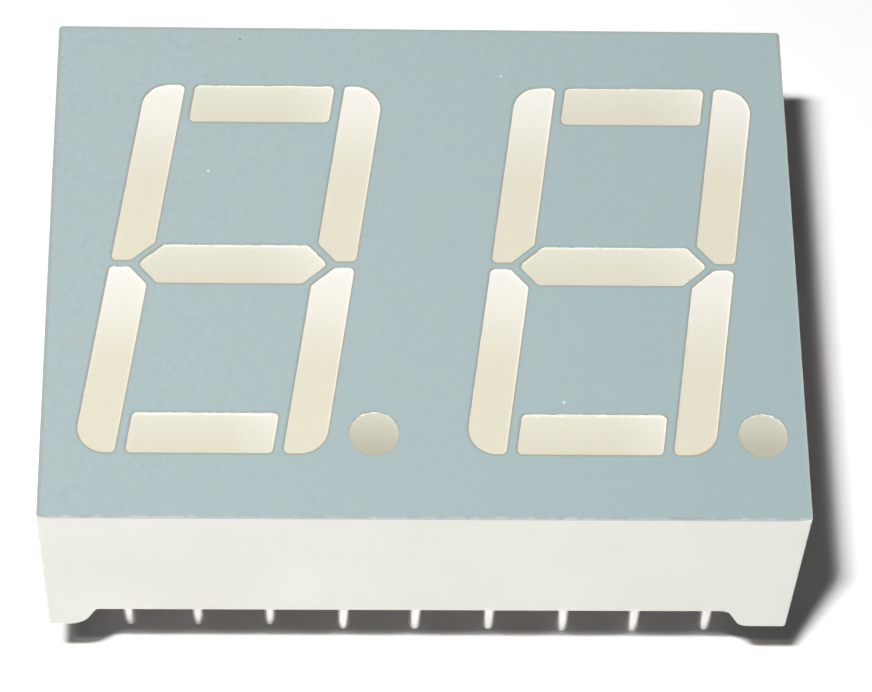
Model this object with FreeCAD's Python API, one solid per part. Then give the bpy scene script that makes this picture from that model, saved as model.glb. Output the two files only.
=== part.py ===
import FreeCAD
import Part
import math
import os

# Two digit seven segment display with 0.56 inch figures. All sizes are in millimetres.
# The origin is the centre of the pin pattern, on the plane of the housing's feet.
# +Z is the way the digits face, and +Y is the way to the top of the digits.

# Housing outline
face_length = 24.97
face_width = 18.90
body_height = 8.0
draft_flare = 0.07  # how far each wall stands out at the feet, past the face
body_edge_radius = 0.12
wall = 0.8
pocket_corner_radius = 0.5

# Gap under the walls between the corner feet
foot_height = 1.18
narrow_foot = 1.16  # foot width along its wall, measured to the point where slope and sole meet
wide_foot = 1.6
foot_slope = 67.0
narrow_foot_radius = 0.85
wide_foot_radius = 0.5
narrow_root_radius = 0.15
wide_root_radius = 0.42

# Grey coating on the front face
ink_thickness = 0.04
ink_setback = 0.03  # white rim left bare round each light well

# Digits, measured in an upright figure before it is slanted
figure_margin = 2.35  # from the face's long sides to the figures
side_margin = 1.062  # from the face's ends to the slanted figures
digit_gap = 4.55  # between the two digits
slant_angle = 8.0
upright_width = 1.34
crossbar_width = 1.47
point_reach = 0.415  # how far the middle bar's points stand in between the uprights
crossbar_gap = 0.355  # between a crossbar's end and the upright beside it
middle_gap = 0.25  # between the upper and the lower upright
diagonal_gap = 0.28  # between the middle bar's points and the uprights' bevels
figure_radius = 0.92  # outer corners of the figure
end_flat = 0.05  # least flat left at an upright's end between its corners
corner_radius = 0.17  # every other corner

# Decimal point
point_diameter = 1.62
point_gap = 0.7  # from the digit's side
point_height = 0.76  # centre above the digit's baseline

# Light wells: the size of each well's floor, round its chip
upright_floor_width = 0.84
upright_floor_length = 3.6
upright_floor_bevel = 0.3
crossbar_floor_width = 0.78
crossbar_floor_length = 2.6
point_floor_diameter = 1.0
floor_corner_radius = 0.1
fill_recess = 0.05  # how far the fill lies below the housing's front face

# Hollows moulded in the back of the housing
core_web = 1.2  # thickness left under the front face
core_margin = 0.75  # wall left beside a well at the front end of the hollow
core_draft = 0.2  # how much wider each side is at the board
core_corner_radius = 0.4
groove_overhang = 0.9  # groove length past the centre of its end pins
groove_corner_radius = 0.45
peg_diameter = 1.0
peg_inset = 0.75  # peg centre from the pocket's end wall
peg_offset = 3.0  # peg centre from the middle of the housing
peg_end = 0.3  # peg length past the board
peg_clearance = 0.05

# Circuit board and the epoxy behind it
fill_step = 0.08  # from the gaps under the walls up to the potting surface
board_cover = 1.02  # potting under the board
board_thickness = 1.0
board_clearance = 0.1

# Pins
pin_pitch = 2.54
row_gap = 0.52  # from the figures' ends to the pins' centres
end_pin_room = 1.2  # least distance from a row's end pins to the pocket's end walls
pin_diameter = 0.5
root_step = 0.03  # how far the pressed square root stands out past the round shank
pin_reach = 4.45  # length below the feet
tip_length = 1.2
tip_diameter = 0.38
pin_clearance = 0.05
solder_overlap = 0.1  # solder past the rim of the pin's hole
solder_height = 0.4
solder_room = 0.055  # between a solder joint and the side of its groove
solder_headroom = 0.15

# Chip, pads and bond wire in each well
pad_thickness = 0.035
die_pad_side = 0.4
wire_pad_side = 0.25
chip_side = 0.28
chip_height = 0.25
die_offset = -0.18  # chip centre from the well's centre, along the segment
wire_offset = 0.27  # wire pad centre, the other way
wire_thickness = 0.03
wire_rise = 0.1
wire_fall = 0.06

# Places worked out from the sizes above
slant = math.tan(math.radians(slant_angle))
housing_top = body_height - ink_thickness
fill_top = housing_top - fill_recess
fill_level = foot_height + fill_step
board_back = fill_level + board_cover
board_front = board_back + board_thickness
base_length = face_length + 2 * draft_flare
base_width = face_width + 2 * draft_flare
pocket_length = base_length - 2 * wall
pocket_width = base_width - 2 * wall
digit_height = face_width - 2 * figure_margin
digit_lean = digit_height * slant
digit_width = (face_length - 2 * side_margin - digit_lean - digit_gap) / 2
digit_pitch = digit_width + digit_gap
half_height = digit_height / 2
outer_side = digit_width / 2
inner_side = outer_side - upright_width
crossbar_reach = inner_side - crossbar_gap
middle_bar_reach = inner_side + point_reach
bevel_line = middle_bar_reach + diagonal_gap * math.sqrt(2)
upright_bevel = bevel_line - inner_side - middle_gap / 2
sharp_half = math.radians((90 - slant_angle) / 2)  # half the angle at each slanted corner
blunt_half = math.radians((90 + slant_angle) / 2)
corner_room = upright_width - end_flat - corner_radius / math.tan(blunt_half)
outer_radius = min(figure_radius, corner_room * math.tan(sharp_half))
digit_centres = {"left": -digit_pitch / 2, "right": digit_pitch / 2}
point_u = outer_side + point_gap + point_diameter / 2
point_v = point_height - half_height
row_spacing = digit_height + 2 * row_gap
pins_per_row = 1 + int((pocket_length - 2 * end_pin_room) / pin_pitch)
row_length = (pins_per_row - 1) * pin_pitch
root_side = pin_diameter + 2 * root_step
hole_diameter = root_side * math.sqrt(2) + 2 * pin_clearance
solder_diameter = hole_diameter + 2 * solder_overlap
groove_width = solder_diameter + 2 * solder_room
groove_depth = solder_height + solder_headroom
overshoot = 1.0  # cutting tools run this far past open faces


def vector(x, y, z):
    return FreeCAD.Vector(x, y, z)


def outline(corners, z):
    # A closed wire through the corners, each given as x, y and its radius.
    edges = []
    ends = []
    for index, (x, y, radius) in enumerate(corners):
        here = vector(x, y, z)
        x_before, y_before, _ = corners[index - 1]
        x_after, y_after, _ = corners[(index + 1) % len(corners)]
        back = (vector(x_before, y_before, z) - here).normalize()
        ahead = (vector(x_after, y_after, z) - here).normalize()
        half_angle = back.getAngle(ahead) / 2
        reach = radius / math.tan(half_angle)
        start = here + back * reach
        end = here + ahead * reach
        ends.append((start, end))
        if radius > 0:
            bisector = (back + ahead).normalize()
            middle = here + bisector * (radius / math.sin(half_angle) - radius)
            edges.append(Part.Arc(start, middle, end).toShape())
        else:
            edges.append(None)
    ring = []
    for index, arc in enumerate(edges):
        if arc is not None:
            ring.append(arc)
        next_start = ends[(index + 1) % len(ends)][0]
        ring.append(Part.LineSegment(ends[index][1], next_start).toShape())
    return Part.Wire(ring)


def prism(corners, z_low, z_high):
    return Part.Face(outline(corners, z_low)).extrude(vector(0, 0, z_high - z_low))


def rod(x, y, diameter, z_low, z_high):
    return Part.makeCylinder(diameter / 2, z_high - z_low, vector(x, y, z_low))


def rectangle(length, width, radius):
    return [
        (-length / 2, -width / 2, radius),
        (length / 2, -width / 2, radius),
        (length / 2, width / 2, radius),
        (-length / 2, width / 2, radius),
    ]


def mirror_u(corners):
    return [(-u, v, radius) for u, v, radius in reversed(corners)]


def mirror_v(corners):
    return [(u, -v, radius) for u, v, radius in reversed(corners)]


def upright_corners(inner, outer, low, high, bevel, figure, corner):
    # The upper right upright. Its bevel faces the end of the middle bar.
    return [
        (inner + bevel, low, corner),
        (outer, low, corner),
        (outer, high, figure),
        (inner, high, corner),
        (inner, low + bevel, corner),
    ]


def crossbar_corners(reach, low, high, corner):
    return [
        (-reach, low, corner),
        (reach, low, corner),
        (reach, high, corner),
        (-reach, high, corner),
    ]


def middle_corners(reach, half_width, corner):
    flat = reach - half_width
    return [
        (-reach, 0, corner),
        (-flat, -half_width, corner),
        (flat, -half_width, corner),
        (reach, 0, corner),
        (flat, half_width, corner),
        (-flat, half_width, corner),
    ]


def figure_outlines():
    # For each segment: its outline at the face, its outline at the well's floor,
    # the centre of its chip, and the angle of its length, all before slanting.
    low = middle_gap / 2
    face = upright_corners(
        inner_side, outer_side, low, half_height, upright_bevel, outer_radius, corner_radius
    )
    centre_u = (inner_side + outer_side) / 2
    centre_v = (low + half_height) / 2
    floor = upright_corners(
        centre_u - upright_floor_width / 2,
        centre_u + upright_floor_width / 2,
        centre_v - upright_floor_length / 2,
        centre_v + upright_floor_length / 2,
        upright_floor_bevel,
        floor_corner_radius,
        floor_corner_radius,
    )
    bar_low = half_height - crossbar_width
    bar_face = crossbar_corners(crossbar_reach, bar_low, half_height, corner_radius)
    bar_v = half_height - crossbar_width / 2
    bar_floor = crossbar_corners(
        crossbar_floor_length / 2,
        bar_v - crossbar_floor_width / 2,
        bar_v + crossbar_floor_width / 2,
        floor_corner_radius,
    )
    middle_face = middle_corners(middle_bar_reach, crossbar_width / 2, corner_radius)
    middle_floor = middle_corners(
        crossbar_floor_length / 2, crossbar_floor_width / 2, floor_corner_radius
    )
    along_upright = 90.0 - slant_angle
    return {
        "a": (bar_face, bar_floor, (0, bar_v), 0),
        "b": (face, floor, (centre_u, centre_v), along_upright),
        "c": (mirror_v(face), mirror_v(floor), (centre_u, -centre_v), along_upright),
        "d": (mirror_v(bar_face), mirror_v(bar_floor), (0, -bar_v), 0),
        "e": (
            mirror_u(mirror_v(face)),
            mirror_u(mirror_v(floor)),
            (-centre_u, -centre_v),
            along_upright,
        ),
        "f": (mirror_u(face), mirror_u(floor), (-centre_u, centre_v), along_upright),
        "g": (middle_face, middle_floor, (0, 0), 0),
    }


def slanted(corners, digit_x):
    return [(digit_x + u + v * slant, v, radius) for u, v, radius in corners]


def blend(low_corners, high_corners, share):
    # The section of a tapered well, where share is 0 at its floor and 1 at the face.
    section = []
    for low, high in zip(low_corners, high_corners):
        section.append(tuple(a + (b - a) * share for a, b in zip(low, high)))
    return section


def grown(corners, distance):
    # The same convex outline with every side moved outwards.
    lines = []
    for index, (x, y, _) in enumerate(corners):
        x_after, y_after, _ = corners[(index + 1) % len(corners)]
        length = math.hypot(x_after - x, y_after - y)
        normal_x = (y_after - y) / length
        normal_y = -(x_after - x) / length
        lines.append((normal_x, normal_y, normal_x * x + normal_y * y + distance))
    section = []
    for index, (_, _, radius) in enumerate(corners):
        a1, b1, c1 = lines[index - 1]
        a2, b2, c2 = lines[index]
        cross = a1 * b2 - a2 * b1
        section.append(
            ((c1 * b2 - c2 * b1) / cross, (a1 * c2 - a2 * c1) / cross, radius + distance)
        )
    return section


class Segment:
    # One light well of a digit, with the places that its fill, chip and wire share.
    def __init__(self, face, floor, chip_x, chip_y, angle):
        self.face = face
        self.floor = floor
        self.chip_x = chip_x
        self.chip_y = chip_y
        self.angle = angle

    def window(self, z_low, z_high):
        return prism(grown(self.face, ink_setback), z_low, z_high)

    def taper(self, z_high):
        share = (z_high - board_front) / (housing_top - board_front)
        wires = [
            outline(self.floor, board_front),
            outline(blend(self.floor, self.face, share), z_high),
        ]
        return Part.makeLoft(wires, True, True)


class Point:
    # The round well of a decimal point.
    angle = 0

    def __init__(self, x, y):
        self.chip_x = x
        self.chip_y = y

    def window(self, z_low, z_high):
        return rod(self.chip_x, self.chip_y, point_diameter + 2 * ink_setback, z_low, z_high)

    def taper(self, z_high):
        share = (z_high - board_front) / (housing_top - board_front)
        low = point_floor_diameter / 2
        high = low + (point_diameter / 2 - low) * share
        return Part.makeCone(
            low, high, z_high - board_front, vector(self.chip_x, self.chip_y, board_front)
        )


def digit_wells(digit_x):
    wells = {}
    for letter, (face, floor, centre, angle) in figure_outlines().items():
        centre_u, centre_v = centre
        wells["segment_" + letter] = Segment(
            slanted(face, digit_x),
            slanted(floor, digit_x),
            digit_x + centre_u + centre_v * slant,
            centre_v,
            angle,
        )
    wells["decimal_point"] = Point(digit_x + point_u + point_v * slant, point_v)
    return wells


def pin_places():
    # Numbered anticlockwise, seen from the front, from the left of the lower row.
    lower = []
    for index in range(pins_per_row):
        lower.append((index * pin_pitch - row_length / 2, -row_spacing / 2))
    upper = [(-x, row_spacing / 2) for x, _ in lower]
    return lower + upper


def peg_places():
    x = pocket_length / 2 - peg_inset
    return [(-x, peg_offset), (x, -peg_offset)]


def foot_gap(length, depth, right_foot, right_radius, right_root_radius):
    # The opening under a pair of walls, from a narrow foot to the foot at its right end.
    run = foot_height / math.tan(math.radians(foot_slope))
    left = -length / 2 + narrow_foot
    right = length / 2 - right_foot
    corners = [
        (-length, -overshoot, 0),
        (length, -overshoot, 0),
        (length, 0, 0),
        (right, 0, right_radius),
        (right - run, foot_height, right_root_radius),
        (left + run, foot_height, narrow_root_radius),
        (left, 0, narrow_foot_radius),
        (-length, 0, 0),
    ]
    gap = Part.Face(outline(corners, 0))
    gap.rotate(vector(0, 0, 0), vector(1, 0, 0), 90)
    gap.translate(vector(0, depth, 0))
    return gap.extrude(vector(0, -2 * depth, 0))


def loop_core(digit_x, side):
    # The hollow behind the blank field inside one loop of the figure.
    reach_u = inner_side - core_margin
    low = crossbar_width / 2 + core_margin
    high = half_height - crossbar_width - core_margin
    front = [
        (-reach_u, low, core_corner_radius),
        (reach_u, low, core_corner_radius),
        (reach_u, high, core_corner_radius),
        (-reach_u, high, core_corner_radius),
    ]
    if side < 0:
        front = mirror_v(front)
    front = slanted(front, digit_x)
    back = grown(front, core_draft)
    wires = [outline(back, board_front), outline(front, body_height - core_web)]
    return Part.makeLoft(wires, True, True)


def pin_groove(y):
    # Room over the board for the pins' solder.
    length = row_length + 2 * groove_overhang
    corners = rectangle(length, groove_width, groove_corner_radius)
    groove = prism(corners, board_front, board_front + groove_depth)
    groove.translate(vector(0, y, 0))
    return groove


def reflector_housing(wells):
    wires = [
        outline(rectangle(base_length, base_width, body_edge_radius), 0),
        outline(rectangle(face_length, face_width, body_edge_radius), housing_top),
    ]
    body = Part.makeLoft(wires, True, True)
    pocket = rectangle(pocket_length, pocket_width, pocket_corner_radius)
    cuts = [prism(pocket, -overshoot, board_front)]
    cuts.append(
        foot_gap(base_length, base_width, wide_foot, wide_foot_radius, wide_root_radius)
    )
    side_gap = foot_gap(
        base_width, base_length, narrow_foot, narrow_foot_radius, narrow_root_radius
    )
    side_gap.rotate(vector(0, 0, 0), vector(0, 0, 1), 90)
    cuts.append(side_gap)
    for digit_x in digit_centres.values():
        cuts.append(loop_core(digit_x, 1))
        cuts.append(loop_core(digit_x, -1))
    cuts.append(pin_groove(row_spacing / 2))
    cuts.append(pin_groove(-row_spacing / 2))
    cuts.extend(well.taper(housing_top) for well in wells)
    body = body.cut(cuts)
    pegs = [rod(x, y, peg_diameter, board_back - peg_end, board_front) for x, y in peg_places()]
    return body.fuse(pegs).removeSplitter()


def face_ink(wells):
    layer = prism(rectangle(face_length, face_width, body_edge_radius), housing_top, body_height)
    low = housing_top - overshoot
    high = body_height + overshoot
    return layer.cut([well.window(low, high) for well in wells])


def board_blank():
    length = pocket_length - 2 * board_clearance
    width = pocket_width - 2 * board_clearance
    radius = pocket_corner_radius - board_clearance
    return prism(rectangle(length, width, radius), board_back, board_front)


def circuit_board():
    low = board_back - overshoot
    high = board_front + overshoot
    peg_hole = peg_diameter + 2 * peg_clearance
    holes = [rod(x, y, hole_diameter, low, high) for x, y in pin_places()]
    holes += [rod(x, y, peg_hole, low, high) for x, y in peg_places()]
    return board_blank().cut(holes)


def pin_root(x, y, z_low, z_high):
    # The stretch of a pin that is pressed square, to grip in the board and the potting.
    root = prism(rectangle(root_side, root_side, 0), z_low, z_high)
    root.translate(vector(x, y, 0))
    return root


def connection_pin(x, y):
    # A round wire with a tapered tip, turned from its half profile, and its square root.
    profile = [
        (0, -pin_reach),
        (tip_diameter / 2, -pin_reach),
        (pin_diameter / 2, tip_length - pin_reach),
        (pin_diameter / 2, fill_level),
        (0, fill_level),
    ]
    corners = [vector(r, 0, z) for r, z in profile]
    half = Part.Face(Part.makePolygon(corners + corners[:1]))
    shank = half.revolve(vector(0, 0, 0), vector(0, 0, 1), 360)
    shank.translate(vector(x, y, 0))
    return shank.fuse(pin_root(x, y, fill_level, board_front))


def solder_joint(x, y):
    return Part.makeCone(solder_diameter / 2, 0, solder_height, vector(x, y, board_front))


def back_fill():
    # Potting behind the board and round its edge, with the pins and pegs standing in it.
    pocket = rectangle(pocket_length, pocket_width, pocket_corner_radius)
    potting = prism(pocket, fill_level, board_front)
    low = fill_level - overshoot
    peg_low = board_back - peg_end
    cuts = [board_blank()]
    cuts += [pin_root(x, y, low, board_back) for x, y in pin_places()]
    cuts += [rod(x, y, peg_diameter, peg_low, board_back) for x, y in peg_places()]
    return potting.cut(cuts)


def on_segment(shape, well):
    shape.rotate(vector(0, 0, 0), vector(0, 0, 1), well.angle)
    shape.translate(vector(well.chip_x, well.chip_y, 0))
    return shape


def block(centre_x, side, z_low, z_high):
    corner = vector(centre_x - side / 2, -side / 2, z_low)
    return Part.makeBox(side, side, z_high - z_low, corner)


def bond_wire():
    # A thin loop from the chip's top to its pad, drawn with a square section.
    chip_top = board_front + pad_thickness + chip_height
    pad_top = board_front + pad_thickness
    half = wire_thickness / 2
    crest = chip_top + wire_rise
    shoulder = crest - wire_fall
    points = [
        (die_offset - half, chip_top),
        (die_offset + half, chip_top),
        (die_offset + half, crest - wire_thickness),
        (wire_offset - half, shoulder - wire_thickness),
        (wire_offset - half, pad_top),
        (wire_offset + half, pad_top),
        (wire_offset + half, shoulder),
        (die_offset - half, crest),
    ]
    corners = [vector(x, half, z) for x, z in points]
    profile = Part.Face(Part.makePolygon(corners + corners[:1]))
    return profile.extrude(vector(0, -wire_thickness, 0))


def die_site(well):
    pad_top = board_front + pad_thickness
    pads = [
        block(die_offset, die_pad_side, board_front, pad_top),
        block(wire_offset, wire_pad_side, board_front, pad_top),
    ]
    chip = block(die_offset, chip_side, pad_top, pad_top + chip_height)
    return {
        "pads": [on_segment(pad, well) for pad in pads],
        "chip": on_segment(chip, well),
        "wire": on_segment(bond_wire(), well),
    }


def segment_fill(well, site):
    return well.taper(fill_top).cut(site["pads"] + [site["chip"], site["wire"]])


def save(name, shape):
    shape.exportStep(os.path.join("parts", name + ".step"))


def main():
    os.makedirs("parts", exist_ok=True)
    digits = {side: digit_wells(x) for side, x in digit_centres.items()}
    every_well = [well for wells in digits.values() for well in wells.values()]
    save("reflector_housing", reflector_housing(every_well))
    save("face_ink", face_ink(every_well))
    save("circuit_board", circuit_board())
    for number, (x, y) in enumerate(pin_places(), 1):
        save("pin_%02d" % number, connection_pin(x, y))
    save("solder_joints", Part.makeCompound([solder_joint(x, y) for x, y in pin_places()]))
    save("back_fill", back_fill())
    pads = []
    for side, wells in digits.items():
        sites = {name: die_site(well) for name, well in wells.items()}
        for name, well in wells.items():
            save(side + "_" + name, segment_fill(well, sites[name]))
            pads.extend(sites[name]["pads"])
        save("led_chips_" + side, Part.makeCompound([site["chip"] for site in sites.values()]))
        save("bond_wires_" + side, Part.makeCompound([site["wire"] for site in sites.values()]))
    save("chip_pads", Part.makeCompound(pads))


main()
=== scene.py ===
import math
import bmesh
import bpy
from mathutils import Matrix, Vector, noise
from mathutils.geometry import delaunay_2d_cdt


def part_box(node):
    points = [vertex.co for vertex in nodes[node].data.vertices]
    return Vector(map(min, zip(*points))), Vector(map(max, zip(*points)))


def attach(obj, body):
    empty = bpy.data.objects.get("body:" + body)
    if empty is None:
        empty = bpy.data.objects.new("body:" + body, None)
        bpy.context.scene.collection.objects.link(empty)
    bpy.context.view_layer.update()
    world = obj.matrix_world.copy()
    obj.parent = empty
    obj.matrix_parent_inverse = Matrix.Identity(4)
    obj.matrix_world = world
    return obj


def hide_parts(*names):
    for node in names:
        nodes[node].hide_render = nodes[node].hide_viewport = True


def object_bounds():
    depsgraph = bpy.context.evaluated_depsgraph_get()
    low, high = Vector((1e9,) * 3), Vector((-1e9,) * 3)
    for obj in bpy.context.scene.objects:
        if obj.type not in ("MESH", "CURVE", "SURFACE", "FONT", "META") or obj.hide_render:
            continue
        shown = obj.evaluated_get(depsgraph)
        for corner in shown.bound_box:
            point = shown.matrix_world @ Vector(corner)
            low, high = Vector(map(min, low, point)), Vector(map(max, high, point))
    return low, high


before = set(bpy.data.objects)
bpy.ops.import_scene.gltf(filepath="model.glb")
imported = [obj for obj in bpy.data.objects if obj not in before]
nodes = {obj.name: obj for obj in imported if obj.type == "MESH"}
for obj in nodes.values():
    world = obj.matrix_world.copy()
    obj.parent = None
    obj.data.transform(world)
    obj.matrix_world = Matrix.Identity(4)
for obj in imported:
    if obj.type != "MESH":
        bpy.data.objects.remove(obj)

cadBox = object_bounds()
mm = 0.001
print("frame loaded:", len(nodes), "nodes")


# small tools

def hexColour(code):
    # sRGB hex to the linear values that Blender's sockets take
    parts = [int(code[i:i + 2], 16) / 255 for i in (1, 3, 5)]
    return tuple(c / 12.92 if c <= 0.04045 else ((c + 0.055) / 1.055) ** 2.4 for c in parts) + (1.0,)


def addNode(owner, kind, settings=None, inputs=None):
    # in a Map Range node, inputs 1 and 2 are the range taken in and 3 and 4 the range given out
    tree = owner.node_tree
    node = tree.nodes.new(kind)
    for name, value in (settings or {}).items():
        setattr(node, name, value)
    for name, value in (inputs or {}).items():
        if isinstance(value, bpy.types.NodeSocket):
            tree.links.new(value, node.inputs[name])
        else:
            node.inputs[name].default_value = value
    return node


def newMaterial(name):
    material = bpy.data.materials.new(name)
    material.use_nodes = True
    material.node_tree.nodes.clear()
    return material


def placeInMillimetres(material):
    # the object's own coordinates, scaled so that a texture's scale counts per millimetre
    place = addNode(material, "ShaderNodeTexCoord")
    return addNode(material, "ShaderNodeVectorMath", {"operation": "SCALE"},
                   {0: place.outputs["Object"], "Scale": 1000.0}).outputs[0]


def speckMask(material, place, perMillimetre, size, share):
    # round specks in a share of the texture's cells: 1 in a speck, 0 outside
    core = 0.6 * size
    cells = addNode(material, "ShaderNodeTexVoronoi", {"feature": "F1"},
                    {"Vector": place, "Scale": perMillimetre})
    near = addNode(material, "ShaderNodeMapRange", {},
                   {"Value": cells.outputs["Distance"], 1: size, 2: core, 3: 0.0, 4: 1.0})
    pick = addNode(material, "ShaderNodeSeparateColor", {}, {"Color": cells.outputs["Color"]})
    few = addNode(material, "ShaderNodeMath", {"operation": "LESS_THAN"},
                  {0: pick.outputs["Red"], 1: share})
    return addNode(material, "ShaderNodeMath", {"operation": "MULTIPLY"},
                   {0: near.outputs[0], 1: few.outputs[0]}).outputs[0]


def mixColour(material, factor, first, second):
    mixer = addNode(material, "ShaderNodeMix", {"data_type": "RGBA"}, {0: factor, 6: first, 7: second})
    return mixer.outputs[2]


def grained(material, noiseFactor, tone, depth):
    # the tone a little lighter and darker with a fine noise, which stays mostly between low and high
    low, high = 0.3, 0.7
    value = addNode(material, "ShaderNodeMapRange", {},
                    {"Value": noiseFactor, 1: low, 2: high, 3: 1.0 - depth, 4: 1.0 + depth})
    return addNode(material, "ShaderNodeHueSaturation", {},
                   {"Value": value.outputs[0], "Color": tone}).outputs[0]


def finish(material, shader):
    addNode(material, "ShaderNodeOutputMaterial", {}, {"Surface": shader.outputs[0]})
    return material


def surfaced(material, tone, roughness, height, depth, extra):
    # colour and gloss, with a fine relief whose depth is in metres
    bump = addNode(material, "ShaderNodeBump", {}, {"Height": height, "Distance": depth, "Strength": 1.0})
    shader = addNode(material, "ShaderNodeBsdfPrincipled", {},
                     {"Base Color": tone, "Roughness": roughness, "Normal": bump.outputs[0], **extra})
    return finish(material, shader)


def seenDirectly(owner):
    # 1 where the camera, a gloss or a clear piece looks, 0 for the light that falls on other surfaces
    ray = addNode(owner, "ShaderNodeLightPath")
    direct = addNode(owner, "ShaderNodeMath", {"operation": "MAXIMUM"},
                     {0: ray.outputs["Is Camera Ray"], 1: ray.outputs["Is Glossy Ray"]})
    return addNode(owner, "ShaderNodeMath", {"operation": "MAXIMUM"},
                   {0: direct.outputs[0], 1: ray.outputs["Is Transmission Ray"]}).outputs[0]


def clamped(value):
    return min(max(value, 0.0), 1.0)


def noiseAt(p, perMillimetre, salt):
    # smooth noise at a place in millimetres, with another pattern for each salt
    return noise.noise(Vector((p.x * perMillimetre, p.y * perMillimetre, salt)))


# white polycarbonate, injection moulded: satin, with a fine spark-eroded grain
# and a little handling dirt, which keeps the big plain walls from looking drawn

def whitePolycarbonate():
    # specks are given as cells to a millimetre, a speck's size in its cell and the share of cells
    look = {"clean": "#f5f4ee", "worn": "#ecebe3", "flowPerMm": 0.35,
            "dirt": "#8d857a", "dirtSpecks": (1.3, 0.05, 0.10),
            "grainPerMm": 14.0, "grainDepth": 0.0000016, "grainTone": 0.014,
            "roughness": 0.46, "roughSpread": 0.05, "ior": 1.585}
    material = newMaterial("whitePolycarbonateMoulded")
    place = placeInMillimetres(material)
    flow = addNode(material, "ShaderNodeTexNoise", {},
                   {"Vector": place, "Scale": look["flowPerMm"], "Detail": 3.0})
    tone = mixColour(material, flow.outputs[0], hexColour(look["clean"]), hexColour(look["worn"]))
    dirt = speckMask(material, place, *look["dirtSpecks"])
    tone = mixColour(material, dirt, tone, hexColour(look["dirt"]))
    grain = addNode(material, "ShaderNodeTexNoise", {},
                    {"Vector": place, "Scale": look["grainPerMm"], "Detail": 2.0})
    tone = grained(material, grain.outputs[0], tone, look["grainTone"])
    rough = addNode(material, "ShaderNodeMapRange", {},
                    {"Value": grain.outputs[0], 3: look["roughness"] - look["roughSpread"],
                     4: look["roughness"] + look["roughSpread"]})
    return surfaced(material, tone, rough.outputs[0], grain.outputs[0], look["grainDepth"],
                    {"IOR": look["ior"]})


# grey screen ink, printed: a matt film with a faint mottle and painted shade that darkens it towards the
# front right, with thin light edges at the housing's corners, a darker bead at each window, dust and a few
# scratches

def greyInk():
    look = {"film": "#b0c3c5", "mottle": "#a7b9bb", "mottlePerMm": 4.0, "mottleRange": (0.36, 0.64),
            "warmer": "#b3bdb9", "driftPerMm": 1.2, "driftRange": (0.4, 0.7), "driftShare": 0.5,
            "paintedShade": "#a5b9ba", "paintedShadeTowards": (1.0, -0.55, 0.0), "paintedShadeReach": 17.0, "paintedShadeShare": 0.9,
            "bead": "#9c9e91", "beadPower": 0.85, "thin": "#cdcfce",
            "dust": "#e6ebe6", "dustSpecks": (1.1, 0.07, 0.05),
            "dark": "#767e80", "darkSpecks": (0.8, 0.04, 0.06),
            "scratchTurn": math.radians(38), "scratchStretch": (0.35, 4.0, 1.0),
            "scratchSpecks": (0.55, 0.10, 0.03),
            "toothPerMm": 10.0, "toothTone": 0.028, "toothDepth": 0.000002, "roughness": 0.62, "ior": 1.5}
    material = newMaterial("greyInkScreenPrinted")
    place = placeInMillimetres(material)
    mottle = addNode(material, "ShaderNodeTexNoise", {},
                     {"Vector": place, "Scale": look["mottlePerMm"], "Detail": 4.0, "Roughness": 0.75})
    patchy = addNode(material, "ShaderNodeMapRange", {},
                     {"Value": mottle.outputs[0], 1: look["mottleRange"][0], 2: look["mottleRange"][1]})
    tone = mixColour(material, patchy.outputs[0], hexColour(look["film"]), hexColour(look["mottle"]))
    drift = addNode(material, "ShaderNodeTexNoise", {},
                    {"Vector": place, "Scale": look["driftPerMm"], "Detail": 3.0, "Roughness": 0.6})
    drifted = addNode(material, "ShaderNodeMapRange", {},
                      {"Value": drift.outputs[0], 1: look["driftRange"][0], 2: look["driftRange"][1],
                       4: look["driftShare"]})
    tone = mixColour(material, drifted.outputs[0], tone, hexColour(look["warmer"]))
    # painted shade: the film is darker towards the front right, where the flash's light falls off across the
    # face
    pulled = addNode(material, "ShaderNodeVectorMath", {"operation": "DOT_PRODUCT"},
                     {0: place, 1: look["paintedShadeTowards"]})
    shadeAmount = addNode(material, "ShaderNodeMapRange", {},
                     {"Value": pulled.outputs["Value"], 1: -look["paintedShadeReach"], 2: look["paintedShadeReach"],
                      4: look["paintedShadeShare"]})
    tone = mixColour(material, shadeAmount.outputs[0], tone, hexColour(look["paintedShade"]))
    bead = addNode(material, "ShaderNodeAttribute", {"attribute_name": "bead"})
    beaded = addNode(material, "ShaderNodeMath", {"operation": "POWER"},
                     {0: bead.outputs["Fac"], 1: look["beadPower"]})
    tone = mixColour(material, beaded.outputs[0], tone, hexColour(look["bead"]))
    thin = addNode(material, "ShaderNodeAttribute", {"attribute_name": "thin"})
    tone = mixColour(material, thin.outputs["Fac"], tone, hexColour(look["thin"]))
    for name in ("dust", "dark"):
        specks = speckMask(material, place, *look[name + "Specks"])
        tone = mixColour(material, specks, tone, hexColour(look[name]))
    turned = addNode(material, "ShaderNodeMapping", {},
                     {"Vector": place, "Rotation": (0, 0, look["scratchTurn"]),
                      "Scale": look["scratchStretch"]})
    scratch = speckMask(material, turned.outputs[0], *look["scratchSpecks"])
    tone = mixColour(material, scratch, tone, hexColour(look["dust"]))
    tooth = addNode(material, "ShaderNodeTexNoise", {},
                    {"Vector": place, "Scale": look["toothPerMm"], "Detail": 3.0, "Roughness": 0.7})
    tone = grained(material, tooth.outputs[0], tone, look["toothTone"])
    return surfaced(material, tone, look["roughness"], tooth.outputs[0], look["toothDepth"],
                    {"IOR": look["ior"]})


# clear epoxy with a white diffuser, cast in the wells: the white wall shines through where the epoxy is
# shallow, and painted light stands in for the light coming back through it, so each fill is painted whiter at
# its far end, a crossbar also at its right, and creamier over its chip

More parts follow.
